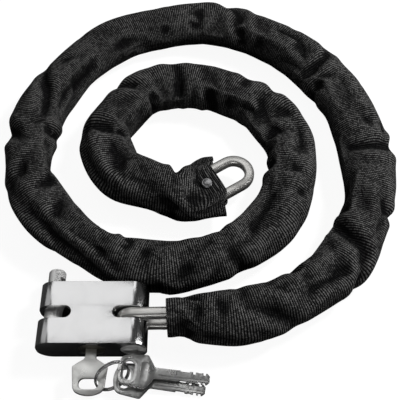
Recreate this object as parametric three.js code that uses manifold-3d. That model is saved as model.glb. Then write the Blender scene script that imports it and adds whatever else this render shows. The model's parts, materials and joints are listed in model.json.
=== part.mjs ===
// A chain lock: a rounded steel block padlock with its key, a bunch of spare keys, and a long-link chain
// in a fabric sleeve, laid in a coil. Millimetres, +Z up, +X to the right of the lock's front face.
// The origin is the centre of the lock's flat back face, which rests on the table.
import * as THREE from "three";
import { mergeVertices } from "three/addons/utils/BufferGeometryUtils.js";
import Module from "manifold-3d";

const wasm = await Module();
wasm.setup();

// Lock body
const BODY_WIDTH = 62;
const BODY_HEIGHT = 37;
const BODY_DEPTH = 22;
const BODY_CORNER = 9;
const SLOT_HEIGHT = 7.2;
const SLOT_DEPTH = 19.5;
const MID = BODY_DEPTH / 2; // height of the bolt, pin and cylinder axes above the back face
const TOP = BODY_HEIGHT / 2;
const BOTTOM = -BODY_HEIGHT / 2;
const FIT = 0.15; // radial play of pieces that sit in bores

// Locking bolt, on the left, and the fixed pin, on the right
const BOLT_X = -23.5;
const BOLT_RADIUS = 5;
const BOLT_PROUD = 12;
const BOLT_FOOT = -4.2;
const BOLT_STROKE = 12; // pressed home from where it stands
const BOLT_WELL = -17.3;
const BOLT_HOLLOW = [3.3, 12.2]; // radius and depth of the hole in its foot that holds the spring
const NOTCH_DEPTH = 2.3;
const PIN_X = 23.2;
const PIN_RADIUS = 4;
const PIN_TOP = 13.7;
const PLUG_RADIUS = 7;
const PLUG_DEPTH = 3.4;
const SPRING = { radius: 2.4, wire: 0.7, pitch: 2.2, turns: 5 }; // pressed down to the bolt's home position

// Key cylinder
const SHELL_RADIUS = 7.5;
const SHELL_BORE = 5.5;
const SHELL_TOP = 8.2;
const CYLINDER_FACE = BOTTOM + 0.3;
const CORE_RADIUS = 5.35;
const CORE_TOP = 8.6;
const WAFERS = 3;
const WAFER_THICKNESS = 1;
const CAM_RADIUS = 3.9;
const CAM_BASE = 9;
const CAM_HEIGHT = 2.8;
const LOBE_REACH = 4.9;
const LOBE_RADIUS = 1.5;
const LATCH_RIGHT = -4.4;
const LATCH_LEFT = -17.9;
const LATCH_THICKNESS = 2.8;
const LATCH_WIDTH = 6;

// Keys and key ring
const KEY_THICKNESS = 2;
const BLADE_WIDTH = 6.2;
const BLADE_LENGTH = 30;
const BOW_WIDTH = 19.5;
const BOW_LENGTH = 21.4;
const KEY_HOLE_AT = -15;
const KEY_HOLE = [11, 6];
const KEY_SHOULDER = -22.9;
const BIT_LENGTH = 2.4;
const BITS = [[8, 0.7, 1.1], [13.5, 1.1, 0.7], [19, 0.7, 0.7], [24.5, 1.1, 1.1]]; // place, and left and right depths
const RING_RADIUS = 9.6;
const RING_WIRE = 1.1;
const RING_PITCH = 1.25;
const RING_CENTRE = [12.3, -33, 10];
const RING_TURN = 30; // degrees round the upright axis
const RING_LEAN = 70; // degrees up from flat

// Chain: long links, alternately upright and flat, that hinge about upright axes
const LINKS = 28;
const BAR = 6;
const BAR_CHAMFER = 1;
const EYE_WIDTH = 10;
const STRAIGHT = 31;
const EYE = (EYE_WIDTH + BAR) / 2; // radius of a link's end, to the middle of its bar
const END_EYE = EYE + 2; // the free end link is wider
const CHAIN_HEIGHT = 13;

// Fabric sleeve
const SLEEVE_WIDTH = 31;
const SLEEVE_HEIGHT = 26;
const SLEEVE_CORNER = 6;
const SLEEVE_WALL = 1.2;
const MOUTH_REACH = 16; // how far a length of sleeve runs past a hinge of the chain where the bend is slight
const LOCK_MOUTH_REACH = 7;
const FLAT_WIDTH = 46;
const FLAT_HEIGHT = 11;
const RIVET_AT = -5;
const RIVET_RADIUS = 2;
const RIVET_HEAD = 3.65;

// How the chain is laid: the degrees that each hinge turns to the left, from the lock to the free end
const COIL_TURNS = [
  8, 21, 25, 21, 19, 16, 17, 19, 22, 25, 23, 19, 19, 24,
  27, 24, 25, 29, 29, 31, 38, 33, 35, 47, 55, 49, 53,
];

const radians = THREE.MathUtils.degToRad;

// ---- solids ----

function toSolid(geometry) {
  const bare = geometry.index ? geometry.toNonIndexed() : geometry.clone();
  bare.deleteAttribute("normal");
  bare.deleteAttribute("uv");
  const merged = mergeVertices(bare, 1e-4);
  const mesh = new wasm.Mesh({
    numProp: 3,
    vertProperties: merged.attributes.position.array,
    triVerts: new Uint32Array(merged.index.array),
  });
  return new wasm.Manifold(mesh);
}

function toGeometry(solid) {
  const mesh = solid.getMesh();
  const geometry = new THREE.BufferGeometry();
  geometry.setAttribute("position", new THREE.BufferAttribute(mesh.vertProperties, 3));
  geometry.setIndex(new THREE.BufferAttribute(mesh.triVerts, 1));
  geometry.computeVertexNormals();
  return geometry;
}

const cut = (base, ...tools) =>
  toGeometry(tools.reduce((solid, tool) => solid.subtract(toSolid(tool)), toSolid(base)));

const join = (base, ...others) =>
  toGeometry(others.reduce((solid, other) => solid.add(toSolid(other)), toSolid(base)));

const box = (x0, x1, y0, y1, z0, z1) =>
  new THREE.BoxGeometry(x1 - x0, y1 - y0, z1 - z0).translate((x0 + x1) / 2, (y0 + y1) / 2, (z0 + z1) / 2);

// A round bar along Y from y0 to y1.
const rod = (radius, y0, y1, x = 0, z = MID, sides = 24) =>
  new THREE.CylinderGeometry(radius, radius, y1 - y0, sides).translate(x, (y0 + y1) / 2, z);

// A body turned about the Y axis from [radius, y] points that start and end on the axis.
const turned = (profile, x, z = MID, sides = 24) =>
  new THREE.LatheGeometry(profile.map(([r, y]) => new THREE.Vector2(r, y)), sides).translate(x, 0, z);

// A stadium: two half circles of the given radius, joined by straights, about the origin along X.
function stadium(target, halfStraight, radius) {
  target.moveTo(halfStraight, -radius);
  target.absarc(halfStraight, 0, radius, -Math.PI / 2, Math.PI / 2);
  target.absarc(-halfStraight, 0, radius, Math.PI / 2, (3 * Math.PI) / 2);
  target.closePath();
  return target;
}

function roundedRectangle(width, height, corner) {
  const [x, y] = [width / 2 - corner, height / 2 - corner];
  const shape = new THREE.Shape();
  shape.absarc(x, y, corner, 0, Math.PI / 2);
  shape.absarc(-x, y, corner, Math.PI / 2, Math.PI);
  shape.absarc(-x, -y, corner, Math.PI, 1.5 * Math.PI);
  shape.absarc(x, -y, corner, 1.5 * Math.PI, 2 * Math.PI);
  shape.closePath();
  return shape;
}

const extruded = (shape, depth, curveSegments = 5) =>
  new THREE.ExtrudeGeometry(shape, { depth, curveSegments, bevelEnabled: false }).translate(0, 0, -depth / 2);

class Helix extends THREE.Curve {
  constructor(radius, pitch, turns) {
    super();
    Object.assign(this, { radius, pitch, turns });
  }
  getPoint(t, target = new THREE.Vector3()) {
    const angle = 2 * Math.PI * this.turns * t;
    const along = this.pitch * this.turns * (t - 0.5);
    return target.set(this.radius * Math.cos(angle), this.radius * Math.sin(angle), along);
  }
}

// Round wire wound as a coil about the Z axis.
function coil(radius, pitch, turns, wire, stepsPerTurn, sides) {
  const section = new THREE.Shape().absarc(0, 0, wire / 2, 0, 2 * Math.PI);
  return new THREE.ExtrudeGeometry(section, {
    steps: Math.round(turns * stepsPerTurn),
    curveSegments: sides,
    extrudePath: new Helix(radius, pitch, turns),
    bevelEnabled: false,
  });
}

// ---- materials ----

const metal = (color, roughness) => new THREE.MeshStandardMaterial({ color, roughness, metalness: 1 });
const chrome = metal(0xd5d7da, 0.22);
const zincSteel = metal(0xa9a69f, 0.35);
const nickel = metal(0xc9c9c6, 0.28);
const brass = metal(0xb99a55, 0.35);
const springSteel = metal(0x8b8e92, 0.3);
const nylon = new THREE.MeshStandardMaterial({ color: 0x0d0d0e, roughness: 0.8, metalness: 0 });

const assembly = new THREE.Group();

function add(name, geometry, material, parent = assembly) {
  const mesh = new THREE.Mesh(geometry, material);
  mesh.name = name;
  parent.add(mesh);
  return mesh;
}

// ---- padlock ----

const KEYWAY = [BLADE_WIDTH / 2 + 0.3, KEY_THICKNESS / 2 + 0.3];
const BLADE_TIP = KEY_SHOULDER + BLADE_LENGTH;
const CAM_MIDDLE = CAM_BASE + CAM_HEIGHT / 2;

function lockBody() {
  const block = extruded(roundedRectangle(BODY_WIDTH, BODY_DEPTH, BODY_CORNER), BODY_HEIGHT)
    .rotateX(Math.PI / 2)
    .translate(0, 0, MID);
  const slotRadius = SLOT_HEIGHT / 2;
  const slotMiddle = BODY_WIDTH / 2 - SLOT_DEPTH + slotRadius;
  const slots = [-1, 1].map((side) =>
    extruded(stadium(new THREE.Shape(), SLOT_DEPTH / 2, slotRadius), BODY_DEPTH + 2)
      .translate(side * (slotMiddle + SLOT_DEPTH / 2), 0, MID),
  );
  const halfLatch = LATCH_THICKNESS / 2 + FIT;
  return cut(
    block,
    ...slots,
    rod(BOLT_RADIUS + FIT, BOLT_WELL, TOP + 1, BOLT_X),
    rod(PIN_RADIUS + FIT, BOTTOM - 1, PIN_TOP + FIT, PIN_X),
    rod(PLUG_RADIUS + FIT, BOTTOM - 1, BOTTOM + PLUG_DEPTH + FIT, PIN_X),
    rod(SHELL_RADIUS + FIT, BOTTOM - 1, CAM_BASE + CAM_HEIGHT + 0.4),
    box(BOLT_X, 0, CAM_MIDDLE - halfLatch, CAM_MIDDLE + halfLatch,
      MID - LATCH_WIDTH / 2 - FIT, MID + LATCH_WIDTH / 2 + FIT),
    retainingPin(0.15, -1),
  );
}

// A short pin across the cylinder's shell, pressed in from the back face.
const retainingPin = (play = 0, foot = 0.3) =>
  new THREE.CylinderGeometry(1.5 + play, 1.5 + play, 4.9 - foot + play, 16)
    .rotateX(Math.PI / 2)
    .translate(0, -8, (4.9 + play + foot) / 2);

function lockingBolt() {
  const tip = TOP + BOLT_PROUD;
  const bolt = turned([
    [0, BOLT_FOOT], [BOLT_RADIUS - 0.6, BOLT_FOOT], [BOLT_RADIUS, BOLT_FOOT + 0.6],
    [BOLT_RADIUS, tip - 2], [BOLT_RADIUS - 0.7, tip - 1], [BOLT_RADIUS - 2.2, tip - 0.3], [0, tip],
  ], BOLT_X);
  const notchEdge = BOLT_X + BOLT_RADIUS - NOTCH_DEPTH;
  const [hollowRadius, hollowDepth] = BOLT_HOLLOW;
  return cut(
    bolt,
    box(notchEdge, BOLT_X + 2 * BOLT_RADIUS, CAM_MIDDLE - 2, CAM_MIDDLE + BOLT_STROKE + 2, 0, BODY_DEPTH),
    rod(hollowRadius, BOLT_FOOT - 1, BOLT_FOOT + hollowDepth, BOLT_X, MID, 20),
  );
}

function pinPlug() {
  const face = BOTTOM;
  const rim = PLUG_RADIUS - 1.2;
  return turned([
    [0, face + 0.5], [rim - 0.4, face + 0.5], [rim, face], [PLUG_RADIUS - 0.3, face],
    [PLUG_RADIUS, face + 0.3], [PLUG_RADIUS, face + PLUG_DEPTH], [0, face + PLUG_DEPTH],
  ], PIN_X);
}

const waferAt = (i) => -14 + 7 * i;

function cylinderCore() {
  const halfSlot = WAFER_THICKNESS / 2 + FIT;
  const slots = Array.from({ length: WAFERS }, (_, i) =>
    box(-4.35, 4.35, waferAt(i) - halfSlot, waferAt(i) + halfSlot, MID - 3.35, MID + 3.35));
  const keyway = box(-KEYWAY[0], KEYWAY[0], CYLINDER_FACE - 1, BLADE_TIP + 0.3, MID - KEYWAY[1], MID + KEYWAY[1]);
  const core = cut(rod(CORE_RADIUS, CYLINDER_FACE, CORE_TOP), keyway, ...slots);
  return join(core, box(-1.5, 1.5, CORE_TOP - 0.5, CAM_BASE + CAM_HEIGHT, MID - 1.5, MID + 1.5));
}

const wafer = (y) =>
  cut(
    box(-4.2, 4.2, y - WAFER_THICKNESS / 2, y + WAFER_THICKNESS / 2, MID - 3.2, MID + 3.2),
    box(-KEYWAY[0], KEYWAY[0], y - 2, y + 2, MID - KEYWAY[1], MID + KEYWAY[1]),
  );

// The cam's lobe points up at rest; the plug's quarter turn swings it to the left, behind the latch.
function cylinderCam() {
  const top = CAM_BASE + CAM_HEIGHT;
  return cut(
    join(
      rod(CAM_RADIUS, CAM_BASE, top),
      rod(LOBE_RADIUS, CAM_BASE, top, 0, MID + LOBE_REACH, 16),
      box(-LOBE_RADIUS, LOBE_RADIUS, CAM_BASE, top, MID, MID + LOBE_REACH),
    ),
    box(-1.65, 1.65, CAM_BASE - 1, top + 1, MID - 1.65, MID + 1.65),
  );
}

function addPadlock() {
  add("lock_body", lockBody(), chrome);
  add("locking_bolt", lockingBolt(), chrome);
  add("fixed_pin", rod(PIN_RADIUS, BOTTOM + PLUG_DEPTH + 0.3, PIN_TOP, PIN_X), chrome);
  add("pin_plug", pinPlug(), zincSteel);
  add("cylinder_shell", cut(rod(SHELL_RADIUS, CYLINDER_FACE, SHELL_TOP),
    rod(SHELL_BORE, BOTTOM - 1, SHELL_TOP + 1), retainingPin(0.15, -1)), brass);
  add("cylinder_retaining_pin", retainingPin(), zincSteel);
  add("cylinder_plug", cylinderCore(), brass);
  for (let i = 0; i < WAFERS; i++) add(`wafer_${i + 1}`, wafer(waferAt(i)), brass);
  add("cylinder_cam", cylinderCam(), zincSteel);
  add("latch", box(LATCH_LEFT, LATCH_RIGHT, CAM_MIDDLE - LATCH_THICKNESS / 2, CAM_MIDDLE + LATCH_THICKNESS / 2,
    MID - LATCH_WIDTH / 2, MID + LATCH_WIDTH / 2), zincSteel);
  const spring = coil(SPRING.radius, SPRING.pitch, SPRING.turns, SPRING.wire, 10, 3).rotateX(Math.PI / 2);
  const springMiddle = BOLT_WELL + (SPRING.pitch * SPRING.turns) / 2 + SPRING.wire;
  add("bolt_spring", spring, springSteel).position.set(BOLT_X, springMiddle, MID);
}

// ---- keys ----

// Key blank in its own frame: the shoulder at the origin, the blade along +Y and the bow along -Y.
function keyGeometry() {
  const [half, blade] = [BOW_WIDTH / 2, BLADE_WIDTH / 2];
  const outline = new THREE.Shape();
  outline.moveTo(blade, 0);
  outline.quadraticCurveTo(blade + 0.2, -1.2, blade + 1.8, -1.9);
  outline.lineTo(half - 0.6, -4.8);
  outline.quadraticCurveTo(half, -5.2, half, -6.2);
  outline.lineTo(half - 1, -16);
  outline.quadraticCurveTo(half - 1.4, -19.2, half - 4, -20.2);
  outline.quadraticCurveTo(0, 20.2 - 2 * BOW_LENGTH, -half + 4, -20.2);
  outline.quadraticCurveTo(-half + 1.4, -19.2, -half + 1, -16);
  outline.lineTo(-half, -6.2);
  outline.quadraticCurveTo(-half, -5.2, -half + 0.6, -4.8);
  outline.lineTo(-blade - 1.8, -1.9);
  outline.quadraticCurveTo(-blade - 0.2, -1.2, -blade, 0);
  outline.lineTo(-blade, BLADE_LENGTH - 1.5);
  outline.lineTo(-blade + 1.5, BLADE_LENGTH);
  outline.lineTo(blade - 1.5, BLADE_LENGTH);
  outline.lineTo(blade, BLADE_LENGTH - 1.5);
  outline.closePath();
  const blank = extruded(outline, KEY_THICKNESS, 3);
  const [length, width] = KEY_HOLE;
  const hole = extruded(stadium(new THREE.Shape(), (length - width) / 2, width / 2), 2 * KEY_THICKNESS)
    .translate(0, KEY_HOLE_AT, 0);
  const bits = BITS.flatMap(([y, left, right]) => [
    box(-BLADE_WIDTH, -blade + left, y, y + BIT_LENGTH, -KEY_THICKNESS, KEY_THICKNESS),
    box(blade - right, BLADE_WIDTH, y, y + BIT_LENGTH, -KEY_THICKNESS, KEY_THICKNESS),
  ]);
  return cut(blank, hole, ...bits);
}

function addKeys() {
  const key = keyGeometry();
  add("key_in_lock", key, nickel).position.set(0, KEY_SHOULDER, MID);
  const ring = add("key_ring", coil(RING_RADIUS, RING_PITCH, 2, RING_WIRE, 24, 3), nickel);
  ring.position.set(...RING_CENTRE);
  ring.rotation.set(radians(RING_LEAN), 0, radians(RING_TURN), "ZXY");
  for (const spare of SPARES) {
    const holder = new THREE.Group();
    holder.position.set(...spare.hole);
    holder.rotation.set(radians(-spare.dip), radians(spare.roll), radians(spare.heading - 90), "ZXY");
    add(spare.name, key, nickel, holder).position.set(0, -KEY_HOLE_AT, 0);
    assembly.add(holder);
  }
}

// Spare keys: where the ring holds the hole, the blade's heading, how far the tip dips, and the roll
const SPARES = [
  { name: "spare_key_a", hole: [21.3, -29.4, 8.8], heading: -4.9, dip: 6.4, roll: 0 },
  { name: "spare_key_b", hole: [18.9, -32.6, 3.7], heading: -7.6, dip: 3, roll: 0 },
];

// ---- chain ----

// Hinge points in plan: the first is the eye round the fixed pin, the last the free end's eye.
function hingePoints() {
  const points = [[PIN_X + EYE_WIDTH / 2 - PIN_RADIUS - 0.4, 0]];
  for (let link = 1; link <= LINKS; link++) {
    const [x, y] = points[link - 1];
    const eyes = link % 2 === 0 ? 0 : link === 1 ? 1 : 2;
    const span = STRAIGHT + eyes * EYE;
    points.push([x + span * Math.cos(heading(link)), y + span * Math.sin(heading(link))]);
  }
  return points;
}

const turnAfter = (link) => radians(COIL_TURNS[link - 1]);
const heading = (link) => radians(COIL_TURNS.slice(0, link - 1).reduce((sum, turn) => sum + turn, 0));

function linkGeometry(eye) {
  const outline = stadium(new THREE.Shape(), STRAIGHT / 2, eye + BAR / 2);
  outline.holes.push(stadium(new THREE.Path(), STRAIGHT / 2, eye - BAR / 2));
  return new THREE.ExtrudeGeometry(outline, {
    depth: BAR - 2 * BAR_CHAMFER,
    curveSegments: 3,
    bevelThickness: BAR_CHAMFER,
    bevelSize: BAR_CHAMFER,
    bevelOffset: -BAR_CHAMFER,
    bevelSegments: 1,
  }).translate(0, 0, BAR_CHAMFER - BAR / 2);
}

// A tube lofted along X through rounded rectangles, given as { x, width, height, corner }.
function sleeveGeometry(sections) {
  const perCorner = 3;
  const ring = ({ x, width, height, corner }, inset) => {
    const radius = corner - inset / 2;
    const points = [];
    for (let quarter = 0; quarter < 4; quarter++) {
      const sideY = quarter === 0 || quarter === 3 ? 1 : -1;
      const sideZ = quarter < 2 ? 1 : -1;
      for (let i = 0; i < perCorner; i++) {
        const angle = (Math.PI / 2) * (quarter + i / (perCorner - 1));
        points.push([
          x,
          sideY * (width / 2 - inset - radius) + radius * Math.cos(angle),
          sideZ * (height / 2 - inset - radius) + radius * Math.sin(angle),
        ]);
      }
    }
    return points;
  };
  const around = 4 * perCorner;
  const outer = sections.map((section) => ring(section, 0));
  const inner = sections.map((section) => ring(section, SLEEVE_WALL)).reverse();
  const rings = [...outer, ...inner];
  const indices = [];
  rings.forEach((_, i) => {
    const j = (i + 1) % rings.length;
    for (let k = 0; k < around; k++) {
      const l = (k + 1) % around;
      const [a, b, c, d] = [i * around + k, j * around + k, j * around + l, i * around + l];
      indices.push(a, c, b, a, d, c);
    }
  });
  const geometry = new THREE.BufferGeometry();
  geometry.setAttribute("position", new THREE.Float32BufferAttribute(rings.flat(2), 3));
  geometry.setIndex(indices);
  geometry.computeVertexNormals();
  return geometry;
}

// How far a sleeve may run past a hinge that turns by an angle, so that the swung link clears its walls.
function mouthReach(turn) {
  const room = SLEEVE_WIDTH / 2 - 3.6;
  return Math.min(MOUTH_REACH, (room - BAR / 2 / Math.cos(turn)) / Math.tan(turn));
}

function rivetGeometry() {
  const seat = FLAT_HEIGHT / 2 + 0.3;
  const profile = [
    [0, -seat - 1.6], [2.2, -seat - 1.3], [RIVET_HEAD, -seat - 0.4], [RIVET_HEAD, -seat],
    [RIVET_RADIUS, -seat], [RIVET_RADIUS, seat],
    [RIVET_HEAD, seat], [RIVET_HEAD, seat + 0.4], [2.2, seat + 1.3], [0, seat + 1.6],
  ];
  return turned(profile, 0, 0, 20).rotateX(Math.PI / 2);
}

function addChain() {
  const points = hingePoints();
  const regular = linkGeometry(EYE);
  const wide = linkGeometry(END_EYE);
  const straightTube = { width: SLEEVE_WIDTH, height: SLEEVE_HEIGHT, corner: SLEEVE_CORNER };
  for (let link = 1; link <= LINKS; link++) {
    const number = String(link).padStart(2, "0");
    const upright = link % 2 === 1;
    const [[x0, y0], [x1, y1]] = [points[link - 1], points[link]];
    const place = new THREE.Group();
    assembly.add(place);
    place.position.set((x0 + x1) / 2, (y0 + y1) / 2, CHAIN_HEIGHT);
    place.rotation.set(0, 0, heading(link), "ZYX");
    if (link === 1) {
      const tilt = Math.asin((CHAIN_HEIGHT - MID) / (STRAIGHT + EYE));
      place.rotation.y = -tilt;
      place.position.set(x0 + (STRAIGHT / 2) * Math.cos(tilt), y0, MID + (STRAIGHT / 2) * Math.sin(tilt));
    }
    const mesh = add(`link_${number}`, link === LINKS ? wide : regular, zincSteel, place);
    if (upright) {
      mesh.rotation.x = Math.PI / 2;
      continue;
    }
    const back = -STRAIGHT / 2 - (link === 2 ? LOCK_MOUTH_REACH : mouthReach(turnAfter(link - 1)));
    const name = `sleeve_${String(link / 2).padStart(2, "0")}`;
    if (link < LINKS) {
      const front = STRAIGHT / 2 + mouthReach(turnAfter(link));
      add(name, sleeveGeometry([{ x: back, ...straightTube }, { x: front, ...straightTube }]), nylon, place);
      continue;
    }
    const flat = { width: FLAT_WIDTH, height: FLAT_HEIGHT, corner: 4 };
    const tube = sleeveGeometry([
      { x: back, ...straightTube },
      { x: -STRAIGHT / 2 + 3.6, ...straightTube },
      { x: -STRAIGHT / 2 + 7, ...flat },
      { x: STRAIGHT / 2 - 10, ...flat },
    ]);
    const rivetHole = rod(RIVET_RADIUS + 0.3, -20, 20, 0, 0, 20).rotateX(Math.PI / 2).translate(RIVET_AT, 0, 0);
    add(name, cut(tube, rivetHole), nylon, place);
    add("sleeve_rivet", rivetGeometry(), chrome, place).position.x = RIVET_AT;
  }
}

addPadlock();
addKeys();
addChain();

export default assembly;
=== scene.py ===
"""Looks of the chain lock: polished padlock, keys on a split ring, chain links and a ribbed nylon sleeve."""

import json
import math

import bmesh
import bpy
import numpy as np
from mathutils import Matrix, Vector

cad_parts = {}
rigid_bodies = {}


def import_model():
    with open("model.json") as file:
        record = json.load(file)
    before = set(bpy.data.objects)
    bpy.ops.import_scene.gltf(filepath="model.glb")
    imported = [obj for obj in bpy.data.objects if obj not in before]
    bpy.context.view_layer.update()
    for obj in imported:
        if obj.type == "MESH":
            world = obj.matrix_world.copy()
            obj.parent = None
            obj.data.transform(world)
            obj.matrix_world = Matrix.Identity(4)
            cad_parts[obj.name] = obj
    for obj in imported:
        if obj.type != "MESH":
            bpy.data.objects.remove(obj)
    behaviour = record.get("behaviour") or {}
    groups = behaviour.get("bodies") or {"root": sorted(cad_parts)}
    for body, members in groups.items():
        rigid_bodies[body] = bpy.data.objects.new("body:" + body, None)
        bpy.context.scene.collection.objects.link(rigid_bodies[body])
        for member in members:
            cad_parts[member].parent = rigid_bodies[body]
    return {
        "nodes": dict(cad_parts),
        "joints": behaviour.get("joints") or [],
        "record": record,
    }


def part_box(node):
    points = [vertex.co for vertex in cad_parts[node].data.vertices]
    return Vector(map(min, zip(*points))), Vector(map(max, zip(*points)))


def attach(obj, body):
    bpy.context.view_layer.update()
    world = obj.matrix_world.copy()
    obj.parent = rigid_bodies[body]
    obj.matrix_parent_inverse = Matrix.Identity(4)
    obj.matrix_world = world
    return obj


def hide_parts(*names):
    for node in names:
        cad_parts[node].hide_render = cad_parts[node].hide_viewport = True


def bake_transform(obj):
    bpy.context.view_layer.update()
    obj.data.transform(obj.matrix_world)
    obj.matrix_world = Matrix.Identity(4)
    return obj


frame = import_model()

MM = 0.001
scene = bpy.context.scene
rng = np.random.default_rng(11)


def in_scene(name, data):
    made = bpy.data.objects.new(name, data)
    scene.collection.objects.link(made)
    return made


def evaluated(holder):
    """An object as its modifiers leave it."""
    return holder.evaluated_get(bpy.context.evaluated_depsgraph_get())


def turned(degrees, axis):
    return Matrix.Rotation(math.radians(degrees), 4, axis)


bpy.context.view_layer.update()

# ---- Materials ----


class Shader:
    """A principled material with short names for the nodes it uses."""

    def __init__(self, name, **inputs):
        self.material = bpy.data.materials.new(name)
        self.material.use_nodes = True
        self.tree = self.material.node_tree
        self.surface = self.tree.nodes["Principled BSDF"]
        for key, value in inputs.items():
            self.set(key.replace("_", " "), value)

    def set(self, name, value):
        self.feed(self.surface, name, value)

    def node(self, kind, **inputs):
        made = self.tree.nodes.new(kind)
        for key, value in inputs.items():
            self.feed(made, key.replace("_", " "), value)
        return made

    def feed(self, node, name, value):
        target = node.inputs[int(name)] if name.isdigit() else node.inputs[name]
        if isinstance(value, bpy.types.NodeSocket):
            self.tree.links.new(value, target)
        else:
            target.default_value = (*value, 1) if target.type == "RGBA" else value

    def math(self, operation, first, second=0.0):
        made = self.tree.nodes.new("ShaderNodeMath")
        made.operation = operation
        self.feed(made, "0", first)
        self.feed(made, "1", second)
        return made.outputs[0]

    def product(self, first, *others):
        for other in others:
            first = self.math("MULTIPLY", first, other)
        return first

    def coordinates(self, scale=(1, 1, 1)):
        place = self.node("ShaderNodeTexCoord").outputs["Object"]
        return self.node("ShaderNodeMapping", Vector=place, Scale=scale).outputs[0]

    def noise(self, scale, detail=3.0, roughness=0.55, vector=None):
        made = self.node("ShaderNodeTexNoise", Scale=scale, Detail=detail, Roughness=roughness)
        self.feed(made, "Vector", vector or self.coordinates())
        return made.outputs["Fac"]

    def spread(self, value, low, high, to_low=0.0, to_high=1.0):
        made = self.tree.nodes.new("ShaderNodeMapRange")
        names = ("Value", "From Min", "From Max", "To Min", "To Max")
        for name, number in zip(names, (value, low, high, to_low, to_high)):
            self.feed(made, name, number)
        return made.outputs[0]

    def mix(self, share, first, second):
        made = self.tree.nodes.new("ShaderNodeMix")
        made.data_type = "RGBA"
        for index, value in (("0", share), ("6", first), ("7", second)):
            self.feed(made, index, value)
        return made.outputs[2]

    def bump(self, height, distance, strength=1.0):
        return self.node("ShaderNodeBump", Height=height, Distance=distance, Strength=strength).outputs[0]


CLOUDS_PER_METRE = 90
SCRATCHES_PER_METRE = 900


def steel(name, colour, roughness, grain=0.12, tarnish=0.25, scratch=0.02 * MM, brushed=(1, 1, 1),
          metallic=1.0):
    """Plated steel: cloudy roughness, fine scratches along the brushing, and slightly darker worn patches."""
    shader = Shader(name, Metallic=metallic)
    cloud = shader.noise(CLOUDS_PER_METRE, detail=4, vector=shader.coordinates(brushed))
    fine = shader.noise(SCRATCHES_PER_METRE, detail=2, vector=shader.coordinates(brushed))
    shader.set("Roughness", shader.spread(cloud, 0.3, 0.75, roughness, roughness + grain))
    worn = tuple(c * (1 - tarnish) for c in colour)
    shader.set("Base Color", shader.mix(shader.spread(cloud, 0.45, 0.8), colour, worn))
    shader.set("Normal", shader.bump(fine, scratch))
    return shader


# The weave is laid out in millimetres along and round the sleeve.
RIB_PITCH = 1.3
STITCH_PITCH = 1.05
RIB_SHARPNESS = 3.5
RIB_WANDER = 0.5
# Colours of the black nylon with painted light and shade: the dark one is painted shade in the gaps between
# ribs, the light one is painted light on the rib crowns.
NYLON_PAINTED_SHADE = (0.002, 0.002, 0.0022)
NYLON_PAINTED_LIGHT = (0.12, 0.119, 0.117)
# Painted shade of the folds: threads on a ridge this far above the fabric around them are painted lightest,
# and threads this far below it are painted darkest, as shade would fall.
RIDGE, VALLEY = -0.6 * MM, 0.6 * MM
RIDGE_PAINTED_LIGHT, VALLEY_PAINTED_SHADE = 1.5, 0.12


def nylon():
    """Black ribbed webbing: ribs run round the sleeve, each a row of stitches with grey flecks of thread; its
    colour is painted light on rib crowns and ridges and painted shade between ribs and in hollows.
    """
    shader = Shader("sleeve_nylon", Metallic=0.0)
    where = shader.node("ShaderNodeUVMap")
    where.uv_map = "weave"
    split = shader.node("ShaderNodeSeparateXYZ", Vector=where.outputs[0])
    wander = shader.noise(0.09, detail=2, vector=where.outputs[0])
    along = shader.math("ADD", split.outputs[0], shader.spread(wander, 0, 1, -RIB_WANDER, RIB_WANDER))
    ribs = shader.math("DIVIDE", along, RIB_PITCH)
    row = shader.math("FLOOR", ribs)
    rib = shader.math("SINE", shader.product(shader.math("FRACT", ribs), math.pi))
    odd = shader.product(shader.math("MODULO", row, 2.0), 0.5)
    stitches = shader.math("ADD", shader.math("DIVIDE", split.outputs[1], STITCH_PITCH), odd)
    stitch = shader.math("SINE", shader.product(shader.math("FRACT", stitches), math.pi))
    cell = shader.node("ShaderNodeCombineXYZ", X=row, Y=shader.math("FLOOR", stitches))
    fleck = shader.node("ShaderNodeTexWhiteNoise", Vector=cell.outputs[0]).outputs["Value"]
    patches = shader.noise(0.05, detail=2, vector=where.outputs[0])
    hollow = shader.node("ShaderNodeAttribute")
    hollow.attribute_name = "hollow"
    # Painted light and shade: rib crowns are painted lighter and the gaps between them darker; the grey
    # flecks and random patches are the thread's own tone.
    painted_light_and_flecks = shader.product(
        shader.math("POWER", rib, RIB_SHARPNESS),
        shader.spread(stitch, 0, 1, 0.3, 1),
        shader.spread(fleck, 0, 1, 0.25, 1.5),
        shader.spread(patches, 0.3, 0.7, 0.6, 1.2),
        # Painted shade in the fabric's hollows and painted light on its ridges.
        shader.spread(hollow.outputs["Fac"], RIDGE, VALLEY, RIDGE_PAINTED_LIGHT, VALLEY_PAINTED_SHADE),
    )
    shader.set("Base Color", shader.mix(painted_light_and_flecks, NYLON_PAINTED_SHADE, NYLON_PAINTED_LIGHT))
    shader.set("Roughness", 0.7)
    shader.set("Specular IOR Level", 0.07)
    height = shader.math("ADD", rib, shader.product(stitch, 0.3))
    shader.set("Normal", shader.bump(height, 0.28 * MM, 0.85))
    return shader.material


# Where the bolt is rough, in the model's own X and Y: it fades in or out between each pair.
ROUGH_SIDE = (-24.6 * MM, -23.2 * MM)
ROUGH_START = (17.5 * MM, 19.5 * MM)
ROUGH_END = (28.5 * MM, 29.8 * MM)
PITS_PER_METRE = 1500


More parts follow.
